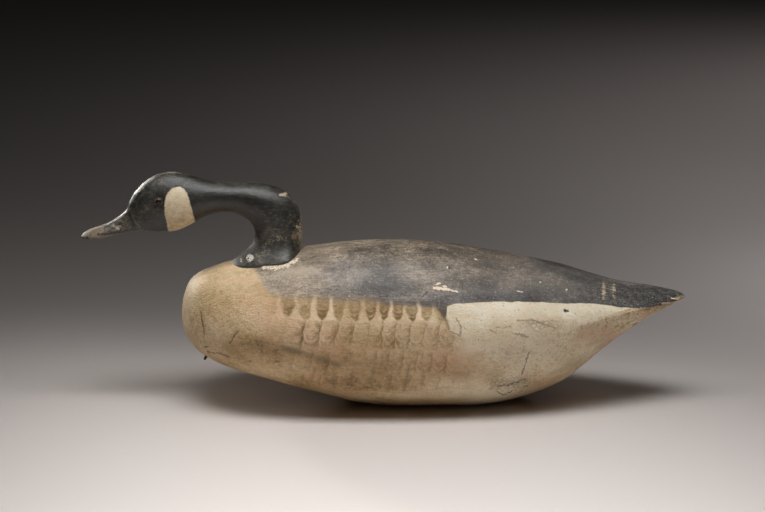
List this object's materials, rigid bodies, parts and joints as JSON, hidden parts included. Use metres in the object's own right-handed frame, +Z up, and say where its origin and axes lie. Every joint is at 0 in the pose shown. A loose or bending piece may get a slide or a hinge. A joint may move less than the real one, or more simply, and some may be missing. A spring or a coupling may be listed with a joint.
{
  "type": "goose decoy",
  "caption": "Carved and painted wooden goose decoy with a rounded float body, a forward-stretched neck and head, bead eyes and an iron anchor-line staple.",
  "frame": {"origin": "on the floor under the middle of the overall length", "axes": "+Z up; -X forward, the way the bill points; +X toward the tail; +Y the goose's right"},
  "size_m": [0.7026, 0.216, 0.2699],
  "materials": {
    "body_paint": "old matt paint in buff, cream and grey-brown, worn to the wood at the edges",
    "head_paint": "old satin black paint with a buff cheek, worn at the crown, nape and bill tip",
    "eye_bead": "glossy dark brown",
    "nail_iron": "dull, lightly rusted",
    "staple_iron": "dark, rusted"
  },
  "bodies": {
    "root": {"body": "body_paint", "head_and_neck": "head_paint", "eye_left": "eye_bead", "eye_right": "eye_bead", "neck_nail_left": "nail_iron", "neck_nail_front": "nail_iron", "neck_nail_right": "nail_iron", "line_tie_staple": "staple_iron"}
  },
  "joints": []
}
